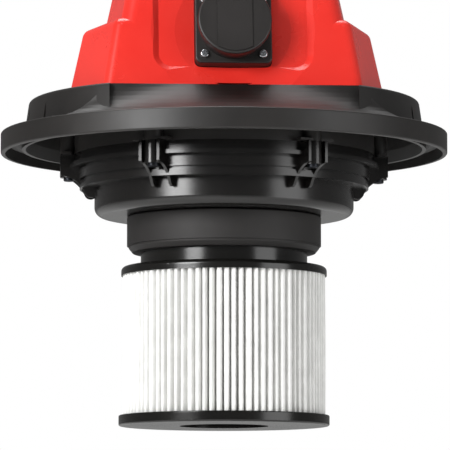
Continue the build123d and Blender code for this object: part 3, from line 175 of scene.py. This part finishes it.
def make_finishes(sizes):
    """One material for each slot of the frame's record."""
    return {
        # ABS moulded in a polished tool: saturated, a soft gloss with a slight orange peel.
        "red_abs": finish_material(
            "Moulded red ABS", (sizes.red_shade, sizes.red_lit), 3.5, 0.010, (0.24, 0.30),
            IOR=1.54),
        # ABS moulded with little texture: deep black that mirrors lights as soft streaks.
        "black_abs": finish_material(
            "Moulded black ABS", ("0c0b0a", "12100f"), 2.4, 0.012, (0.20, 0.28), IOR=1.54),
        # The same ABS off a lightly blasted mould: a satin black that blurs what it mirrors.
        "satin_abs": finish_material(
            "Satin black ABS", ("131110", "1b1816"), 1.1, 0.020, (0.42, 0.52), IOR=1.50),
        # Polypropylene with a sparked texture, drawn coarser than real so that it shows.
        "black_pp": finish_material(
            "Textured polypropylene", ("1d1b1a", "242120"), 0.7, 0.030, (0.40, 0.50), IOR=1.49),
        # Filter paper, folded and bonded: white, fibrous and fully matt.
        "filter_paper": finish_material(
            "Pleated filter paper", ("e6e6e4", "f2f2f0"), 0.5, 0.040, (0.85, 0.95),
            patch=12.0, IOR=1.45),
        # Polyurethane cast in an open mould: glossy black with a faint wave.
        "cap_polyurethane": finish_material(
            "Cast polyurethane", ("0c0b0a", "12110f"), 6.0, 0.030, (0.16, 0.24), IOR=1.50),
        # Natural rubber off a blasted mould: dull black that catches no sharp light.
        "black_rubber": finish_material(
            "Moulded rubber", ("141211", "1a1716"), 0.6, 0.040, (0.55, 0.68), IOR=1.52),
        # Polyethylene, blow moulded: milky and waxy.
        "float_plastic": finish_material(
            "Blow-moulded polyethylene", ("d8d3c4", "e4dfd2"), 2.0, 0.020, (0.35, 0.45),
            IOR=1.51),
        # Zinc-plated steel: pale grey metal with a light haze.
        "zinc_steel": finish_material(
            "Zinc-plated steel", ("b9bcc0", "cfd2d6"), 0.8, 0.004, (0.20, 0.32),
            patch=4.0, Metallic=1.0),
        # Blackened steel screws deep in the pot's legs: dark, with a thin sheen of oil.
        "black_oxide": finish_material(
            "Black oxide steel", ("26272a", "303236"), 0.8, 0.004, (0.34, 0.44),
            patch=4.0, Metallic=1.0),
        # Electrical steel sheets in a stack, 0.5 mm each and drawn at 1 mm to show.
        "laminated_steel": finish_material(
            "Stacked electrical steel", ("55585c", "6b6e73"), 1.0, 0.080, (0.35, 0.50),
            pattern="bands", Metallic=1.0),
        # Enamelled copper wire of 0.8 mm wound in layers: warm brown gloss in ridges.
        "copper": finish_material(
            "Enamelled copper wire", ("8a4a26", "a85c30"), 0.8, 0.300, (0.22, 0.34),
            pattern="bands", Metallic=0.9),
        # Aluminium, pressed: bright with fine drawing marks.
        "aluminium": finish_material(
            "Pressed aluminium", ("c4c6c8", "d6d8da"), 0.6, 0.006, (0.28, 0.40),
            Metallic=1.0),
        # Graphite, pressed and sintered: black and slightly greasy.
        "carbon": finish_material(
            "Sintered graphite", ("141414", "1f1f20"), 0.5, 0.020, (0.42, 0.55), IOR=1.6),
        # Open-cell foam with 1.5 mm cells.
        "grey_foam": finish_material(
            "Open-cell foam", ("3c3d3f", "4c4d50"), 1.5, 0.500, (0.90, 0.98),
            pattern="cells"),
        # Glass-filled laminate under green lacquer.
        "board_laminate": finish_material(
            "Lacquered glass laminate", ("1c5a2e", "236a38"), 1.2, 0.010, (0.25, 0.35),
            IOR=1.55),
    }


def dress(group, finish=None):
    """Gives each named node the finish of its slot in the record, or the one named."""
    slots = {row["node"]: row["material_slot"] for row in frame["record"]["subparts"]}
    for name in group:
        piece = frame["nodes"][name]
        piece.data.materials.clear()
        piece.data.materials.append(FINISHES[finish or slots[name]])
        for face in piece.data.polygons:
            face.material_index = 0


# ---------------------------------------------------------------- groups of nodes

COVER_NODES = ("motor_cover", "carry_handle", "blow_port", "cable_gland", "gland_nut")
LID_NODES = ("tank_lid", "motor_pot", "tank_seal")
PANEL_NODES = (
    "socket_gasket", "socket_body", "socket_insert", "socket_flap", "flap_pin",
    "flap_spring", "earth_clips", "switch_bezel", "switch_body", "selector_knob",
)
FILTER_NODES = (
    "filter_collar", "filter_top_cap", "filter_bottom_cap", "filter_core", "filter_media",
    "float_cage", "float_ball",
)
MOTOR_NODES = (
    "lower_rubber_ring", "fan_housing", "lower_bracket", "lower_bearing", "upper_bearing",
    "upper_bracket", "stator_core", "field_windings", "brush_holders", "carbon_brushes",
    "motor_shaft", "armature_core", "armature_windings", "commutator", "impeller",
    "impeller_nut", "cooling_fan", "motor_hood", "upper_rubber_ring", "sound_foam",
    "control_board", "board_capacitor", "board_relay", "terminal_block",
)
FASTENER_NODES = ("pot_screws", "cover_screws", "handle_screws", "socket_screws", "hood_screws")


# ---------------------------------------------------------------- properties


class PowerHeadSizes(bpy.types.PropertyGroup):
    """Colours and sizes a user would change."""

    red_lit: bpy.props.StringProperty(
        name="Red, lit", description="Cover colour where the shade is lightest",
        default="e33329")
    red_shade: bpy.props.StringProperty(
        name="Red, shade", description="Cover colour where the shade is deepest",
        default="de2c23")
    pleat_count: bpy.props.IntProperty(
        name="Pleats", description="Number of folds round the cartridge", default=84, min=12)
    pleat_depth: bpy.props.FloatProperty(
        name="Pleat depth", description="From the tip of a fold to its valley",
        default=0.0095, unit="LENGTH")
    pleat_unevenness: bpy.props.FloatProperty(
        name="Pleat unevenness", description="Share of a fold's width that it strays by",
        default=0.13, subtype="FACTOR")


class StudioSizes(bpy.types.PropertyGroup):
    """Camera, floor and light."""

    camera_distance: bpy.props.FloatProperty(
        name="Camera distance", description="From the camera to the axis of the head",
        default=2.6, unit="LENGTH")
    camera_height: bpy.props.FloatProperty(
        name="Camera height", description="Height of the camera from the filter's underside",
        default=-0.123, unit="LENGTH")
    camera_turn: bpy.props.FloatProperty(
        name="Camera turn", description="Angle of the camera round the head",
        default=math.radians(-3.8), subtype="ANGLE")
    target_height: bpy.props.FloatProperty(
        name="Target height", description="Height of the point the camera looks at",
        default=0.135, unit="LENGTH")
    lens: bpy.props.FloatProperty(
        name="Lens", description="Focal length for a sensor 36 mm wide",
        default=311.4, unit="CAMERA")
    floor_height: bpy.props.FloatProperty(
        name="Floor height", description="Height of the floor under the head",
        default=-0.45, unit="LENGTH")
    key_power: bpy.props.FloatProperty(
        name="Key power", description="Power of the large light on the left",
        default=46.0, unit="POWER")
    fill_power: bpy.props.FloatProperty(
        name="Fill power", description="Power of the right light; the top one follows it",
        default=12.0, unit="POWER")
    window: bpy.props.FloatProperty(
        name="High window", description="Strength of the soft light from above",
        default=0.9)
    ambient: bpy.props.FloatProperty(
        name="Ambient", description="Strength of the white surroundings as light",
        default=0.19)


# ---------------------------------------------------------------- pieces


def pleat_ring(angle, height_share, sizes, strays, outer):
    """Radius of the pleated wall at an angle in turns and a share of its height."""
    position = angle * sizes.pleat_count
    whole = math.floor(position)
    index = int(whole) % sizes.pleat_count
    along = position - whole
    stray, lean, bulge = strays[index]
    fold = abs(2 * along - 1)
    sway = lean * math.sin(math.pi * height_share)
    crown = 1 - fold ** (PLEAT_BLUNTNESS + stray)
    return outer - sizes.pleat_depth * (1 - crown) - bulge + PLEAT_LEAN * sway


def build_pleats(sizes):
    """Closed ring of folded paper: uneven rounded folds outside, a plain bore inside."""
    low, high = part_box("filter_media")
    top_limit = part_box("filter_top_cap")[0].z
    outer, inner = high.x - PAPER_GAP, high.x - sizes.pleat_depth - PAPER_BACK
    draw = random.Random(PLEAT_SEED)
    strays = [
        (draw.uniform(-0.9, 1.2), draw.uniform(-1, 1), draw.uniform(0, PLEAT_BULGE))
        for _ in range(sizes.pleat_count)
    ]
    shifts = [draw.uniform(-1, 1) * sizes.pleat_unevenness for _ in range(sizes.pleat_count + 1)]
    shifts[-1] = shifts[0]
    bottom, top = low.z + PAPER_LIFT, min(high.z, top_limit + PAPER_BOND)
    around = sizes.pleat_count * STEPS_PER_PLEAT
    mesh = bmesh.new()
    walls = []
    for row in range(PLEAT_ROWS + 1):
        share = row / PLEAT_ROWS
        z = bottom + (top - bottom) * share
        ring = []
        for step in range(around):
            turn = step / around
            index = turn * sizes.pleat_count
            base = int(index)
            blend = index - base
            shift = shifts[base] * (1 - blend) + shifts[base + 1] * blend
            wander = (WANDER * math.sin(WANDER_WAVES * share + WANDER_STAGGER * base)
                      * (1 - share) ** 2)
            angle = (turn + (shift + WANDER_SHARE * wander * sizes.pleat_unevenness)
                     / sizes.pleat_count) * math.tau
            radius = pleat_ring(turn, share, sizes, strays, outer)
            ring.append(mesh.verts.new((radius * math.cos(angle), radius * math.sin(angle), z)))
        walls.append(ring)
    bores = [
        [mesh.verts.new((inner * math.cos(math.tau * s / around),
                         inner * math.sin(math.tau * s / around), z))
         for s in range(around)]
        for z in (bottom, top)
    ]
    for lower, upper in zip(walls, walls[1:]):
        for s in range(around):
            n = (s + 1) % around
            mesh.faces.new((lower[s], lower[n], upper[n], upper[s]))
    for s in range(around):
        n = (s + 1) % around
        mesh.faces.new((bores[0][n], bores[0][s], bores[1][s], bores[1][n]))
        mesh.faces.new((walls[0][n], walls[0][s], bores[0][s], bores[0][n]))
        mesh.faces.new((walls[-1][s], walls[-1][n], bores[1][n], bores[1][s]))
    return finish_mesh(mesh, "pleated_paper")


def build_foam():
    """Soft ring of foam round the motor hood, with rounded edges and an uneven skin."""
    low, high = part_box("sound_foam")
    middle, half_width = (FOAM_INNER + FOAM_OUTER) / 2, (FOAM_OUTER - FOAM_INNER) / 2
    centre, half_height = (low.z + high.z) / 2, (high.z - low.z) / 2 - FOAM_GAP
    draw = random.Random(FOAM_SEED)
    mesh = bmesh.new()
    rings = []
    for step in range(FOAM_AROUND):
        angle = math.tau * step / FOAM_AROUND
        ring = []
        for point in range(FOAM_SECTION):
            lap = math.tau * point / FOAM_SECTION
            across = math.copysign(abs(math.cos(lap)) ** FOAM_SQUARENESS, math.cos(lap))
            up = math.copysign(abs(math.sin(lap)) ** FOAM_SQUARENESS, math.sin(lap))
            puff = 1 - FOAM_UNEVENNESS * draw.random()
            radius = middle + half_width * across * puff
            ring.append(mesh.verts.new((radius * math.cos(angle), radius * math.sin(angle),
                                        centre + half_height * up * puff)))
        rings.append(ring)
    for step in range(FOAM_AROUND):
        here, there = rings[step], rings[(step + 1) % FOAM_AROUND]
        for point in range(FOAM_SECTION):
            n = (point + 1) % FOAM_SECTION
            mesh.faces.new((here[point], there[point], there[n], here[n]))
    return finish_mesh(mesh, "foam_ring")


def finish_mesh(mesh, name):
    """Turns a bmesh into a smooth object in the scene."""
    bmesh.ops.recalc_face_normals(mesh, faces=mesh.faces)
    for face in mesh.faces:
        face.smooth = True
    data = bpy.data.meshes.new(name)
    mesh.to_mesh(data)
    mesh.free()
    piece = bpy.data.objects.new(name, data)
    bpy.context.scene.collection.objects.link(piece)
    return piece


# ---------------------------------------------------------------- operators


class POWERHEAD_OT_finishes(bpy.types.Operator):
    """Makes the head's materials."""

    bl_idname = "power_head.finishes"
    bl_label = "Make finishes"

    def execute(self, context):
        FINISHES.update(make_finishes(context.scene.power_head))
        return {"FINISHED"}


class POWERHEAD_OT_cover(bpy.types.Operator):
    """Finishes the red cover, the handle and the ports."""

    bl_idname = "power_head.cover"
    bl_label = "Cover"

    def execute(self, context):
        dress(COVER_NODES)
        return {"FINISHED"}


class POWERHEAD_OT_lid(bpy.types.Operator):
    """Finishes the tank lid, the motor pot and the seal."""

    bl_idname = "power_head.lid"
    bl_label = "Lid and pot"

    def execute(self, context):
        dress(LID_NODES)
        dress(("tank_lid", "carry_handle"), "satin_abs")
        return {"FINISHED"}


class POWERHEAD_OT_panel(bpy.types.Operator):
    """Finishes the socket and the selector."""

    bl_idname = "power_head.panel"
    bl_label = "Socket and switch"

    def execute(self, context):
        dress(PANEL_NODES)
        return {"FINISHED"}


class POWERHEAD_OT_filter(bpy.types.Operator):
    """Finishes the cartridge and folds its paper."""

    bl_idname = "power_head.filter"
    bl_label = "Cartridge filter"

    def execute(self, context):
        dress(FILTER_NODES)
        paper = build_pleats(context.scene.power_head)
        paper.data.materials.append(FINISHES["filter_paper"])
        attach(paper, "filter")
        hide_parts("filter_media")
        return {"FINISHED"}


class POWERHEAD_OT_motor(bpy.types.Operator):
    """Finishes the motor and fan, and lays in the foam."""

    bl_idname = "power_head.motor"
    bl_label = "Motor and fan"

    def execute(self, context):
        dress(MOTOR_NODES)
        foam = build_foam()
        foam.data.materials.append(FINISHES["grey_foam"])
        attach(foam, "head")
        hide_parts("sound_foam")
        return {"FINISHED"}


class POWERHEAD_OT_fasteners(bpy.types.Operator):
    """Finishes the screws."""

    bl_idname = "power_head.fasteners"
    bl_label = "Screws"

    def execute(self, context):
        dress(FASTENER_NODES)
        dress(("pot_screws",), "black_oxide")
        return {"FINISHED"}


class POWERHEAD_OT_stage(bpy.types.Operator):
    """Sets up the floor, the surroundings, the lights and the camera."""

    bl_idname = "power_head.stage"
    bl_label = "Studio"

    def execute(self, context):
        studio = context.scene.power_head_studio
        mesh = bmesh.new()
        bmesh.ops.create_circle(mesh, cap_ends=True, segments=FLOOR_SIDES,
                                radius=FLOOR_RADIUS)
        floor = finish_mesh(mesh, "studio_floor")
        floor.location.z = studio.floor_height
        # Matt paint: white and even, with a soft shade under the head.
        floor.data.materials.append(finish_material(
            "Matt white paint", ("f2f2f1", "f7f7f6"), 4.0, 0.02, (0.8, 0.9), patch=900.0))

        world = bpy.data.worlds.new("White studio")
        context.scene.world = world
        context.scene.view_settings.view_transform = "Standard"
        world.use_nodes = True
        tree = world.node_tree
        tree.nodes.clear()
        path = add_node(tree, "ShaderNodeLightPath")
        soft = add_node(tree, "ShaderNodeBackground",
                        {"Color": WHITE, "Strength": studio.ambient})
        seen = add_node(tree, "ShaderNodeBackground", {"Color": WHITE, "Strength": 1.0})
        both = add_node(tree, "ShaderNodeMixShader", links={
            0: path.outputs["Is Camera Ray"], 1: soft.outputs[0], 2: seen.outputs[0]})
        add_node(tree, "ShaderNodeOutputWorld", links={"Surface": both.outputs[0]})

        target = Vector((0, 0, studio.target_height))
        for name, place, side, power, share in SOFTBOXES:
            self.light(name, place, side, getattr(studio, power) * share, target)

        sun = bpy.data.lights.new("high_window", "SUN")
        sun.energy, sun.angle = studio.window, WINDOW_SPREAD
        lamp = bpy.data.objects.new("high_window", sun)
        context.scene.collection.objects.link(lamp)
        lamp.rotation_euler = Vector(WINDOW_DIRECTION).to_track_quat("-Z", "Y").to_euler()

        data = bpy.data.cameras.new("camera")
        data.lens, data.sensor_width, data.clip_end = studio.lens, SENSOR_WIDTH, VIEW_REACH
        data.shift_x = SIDE_SHIFT
        camera = bpy.data.objects.new("camera", data)
        context.scene.collection.objects.link(camera)
        reach = studio.camera_distance
        camera.location = (reach * math.sin(studio.camera_turn),
                           -reach * math.cos(studio.camera_turn), studio.camera_height)
        camera.rotation_euler = (target - camera.location).to_track_quat("-Z", "Y").to_euler()
        context.scene.camera = camera
        return {"FINISHED"}

    def light(self, name, place, size, power, target):
        """A square softbox that faces the head."""
        data = bpy.data.lights.new(name, "AREA")
        data.shape, data.size, data.energy = "SQUARE", size, power
        lamp = bpy.data.objects.new(name, data)
        bpy.context.scene.collection.objects.link(lamp)
        lamp.location = place
        lamp.rotation_euler = (target - lamp.location).to_track_quat("-Z", "Y").to_euler()


STEPS = (
    POWERHEAD_OT_finishes, POWERHEAD_OT_cover, POWERHEAD_OT_lid, POWERHEAD_OT_panel,
    POWERHEAD_OT_filter, POWERHEAD_OT_motor, POWERHEAD_OT_fasteners, POWERHEAD_OT_stage,
)


class POWERHEAD_PT_panel(bpy.types.Panel):
    """Sizes, colours and steps of the power head."""

    bl_idname = "POWERHEAD_PT_panel"
    bl_label = "Power Head"
    bl_space_type = "VIEW_3D"
    bl_region_type = "UI"
    bl_category = "Power Head"

    def draw(self, context):
        for group in (context.scene.power_head, context.scene.power_head_studio):
            for name in group.__annotations__:
                self.layout.prop(group, name)
        for step in STEPS:
            self.layout.operator(step.bl_idname)


CLASSES = (PowerHeadSizes, StudioSizes, *STEPS, POWERHEAD_PT_panel)


def register():
    """Registers the classes and hangs both groups of properties on the scene."""
    for item in CLASSES:
        bpy.utils.register_class(item)
    bpy.types.Scene.power_head = bpy.props.PointerProperty(type=PowerHeadSizes)
    bpy.types.Scene.power_head_studio = bpy.props.PointerProperty(type=StudioSizes)


def unregister():
    """Takes back what register did, in reverse."""
    del bpy.types.Scene.power_head_studio
    del bpy.types.Scene.power_head
    for item in reversed(CLASSES):
        bpy.utils.unregister_class(item)


def main():
    """Runs each step."""
    register()
    for step in STEPS:
        group, name = step.bl_idname.split(".")
        getattr(getattr(bpy.ops, group), name)()


if __name__ == "__main__":
    main()
